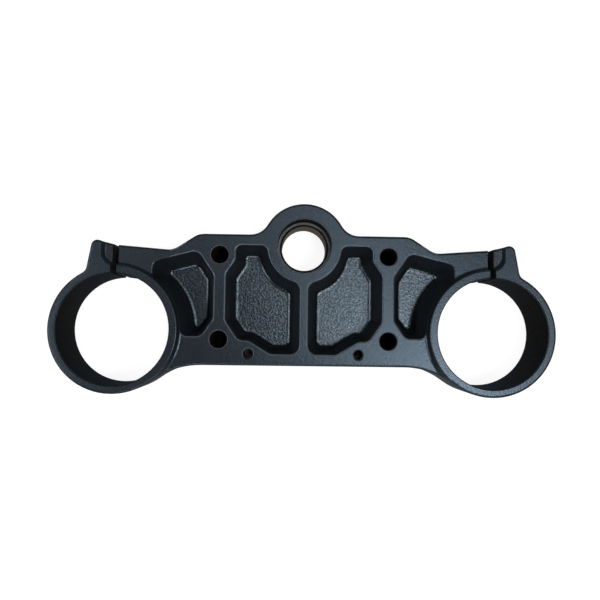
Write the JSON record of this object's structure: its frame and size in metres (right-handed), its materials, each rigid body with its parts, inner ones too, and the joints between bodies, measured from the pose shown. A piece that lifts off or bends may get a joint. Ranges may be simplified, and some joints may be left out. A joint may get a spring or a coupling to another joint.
{
  "type": "upper triple clamp",
  "caption": "Cast motorcycle fork bridge with split clamp rings at both ends, a stepped stem bore, riser holes and drafted lightening pockets between ribs.",
  "frame": {"origin": "steering-stem axis at the flat top face, which the clamp lies on", "axes": "+X across the forks, +Y towards the rider, +Z out of the ribbed underside"},
  "size_m": [0.246, 0.094, 0.028],
  "materials": {
    "black_paint": "satin black paint on cast aluminium"
  },
  "bodies": {
    "root": {"upper_triple_clamp": "black_paint"}
  },
  "joints": []
}
